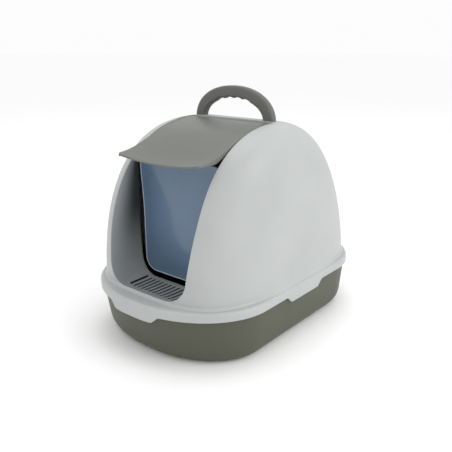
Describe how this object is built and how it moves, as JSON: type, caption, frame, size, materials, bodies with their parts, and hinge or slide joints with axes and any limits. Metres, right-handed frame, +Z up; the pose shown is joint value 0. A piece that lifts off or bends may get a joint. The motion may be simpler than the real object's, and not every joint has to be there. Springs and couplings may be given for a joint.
{
  "type": "hooded cat litter box",
  "caption": "Cat litter box: open tray, lift-off domed hood with a slotted entrance step, flip-up visor lid, two-way swing door and carry handle.",
  "frame": {"origin": "middle of the footprint, on the surface that the tray stands on", "axes": "+Z up, -Y towards the entrance, +X to the right seen from the entrance"},
  "size_m": [0.38, 0.56, 0.4695],
  "materials": {
    "tray_plastic": "fine matte moulded plastic, olive grey",
    "hood_plastic": "satin moulded plastic, cool light grey",
    "lid_plastic": "satin moulded plastic, warm mid grey",
    "handle_plastic": "satin moulded plastic, warm dark grey",
    "pin_plastic": "smooth moulded plastic",
    "door_plastic": "smoky blue translucent plastic sheet",
    "axle_steel": "plain steel"
  },
  "bodies": {
    "tray": {"tray": "tray_plastic"},
    "hood": {"hood": "hood_plastic", "carry_handle": "handle_plastic", "handle_screws": "axle_steel"},
    "lid": {"lid": "lid_plastic", "lid_hinge_pin_right": "pin_plastic", "lid_hinge_pin_left": "pin_plastic", "door_axle": "axle_steel"},
    "door": {"swing_door": "door_plastic"}
  },
  "joints": [
    {"name": "hood_lift", "type": "slide", "parent": "tray", "child": "hood", "axis": [0, 0, 1], "range_m": [0, 0.25]},
    {"name": "lid_hinge", "type": "hinge", "parent": "hood", "child": "lid", "pos_m": [0, -0.003, 0.4005], "axis": [-1, 0, 0], "range_deg": [0, 85]},
    {"name": "door_swing", "type": "hinge", "parent": "lid", "child": "door", "pos_m": [0, -0.15, 0.355], "axis": [1, 0, 0], "range_deg": [-70, 75]}
  ]
}
